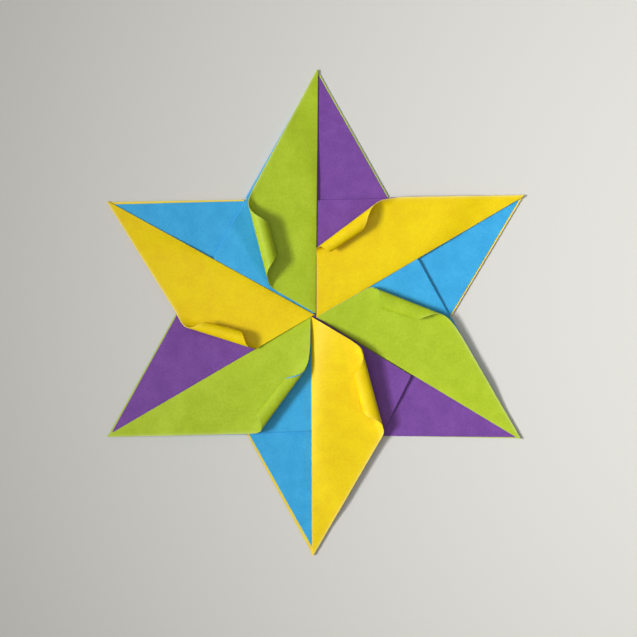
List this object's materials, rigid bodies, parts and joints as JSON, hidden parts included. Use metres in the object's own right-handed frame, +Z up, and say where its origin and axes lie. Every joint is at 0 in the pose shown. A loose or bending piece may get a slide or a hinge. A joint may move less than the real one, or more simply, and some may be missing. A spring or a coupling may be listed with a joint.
{
  "type": "modular origami star",
  "caption": "Flat modular origami star of interlocked folded paper units, coloured on both sides, with one rolled-up flap corner on each point.",
  "frame": {"origin": "centre of the star on its underside, on the surface that it lies on", "axes": "+Z up out of the face with the rolled corners, +Y from the centre to the tip of one lime point"},
  "size_m": [0.1732, 0.2, 0.0112],
  "materials": {
    "lime_blue_paper": "matt origami paper, lime green on one side and sky blue on the other",
    "yellow_purple_paper": "matt origami paper, yellow on one side and purple on the other"
  },
  "bodies": {
    "root": {"lime_unit_top": "lime_blue_paper", "yellow_unit_upper_right": "yellow_purple_paper", "lime_unit_lower_right": "lime_blue_paper", "yellow_unit_bottom": "yellow_purple_paper", "lime_unit_lower_left": "lime_blue_paper", "yellow_unit_upper_left": "yellow_purple_paper"}
  },
  "joints": []
}
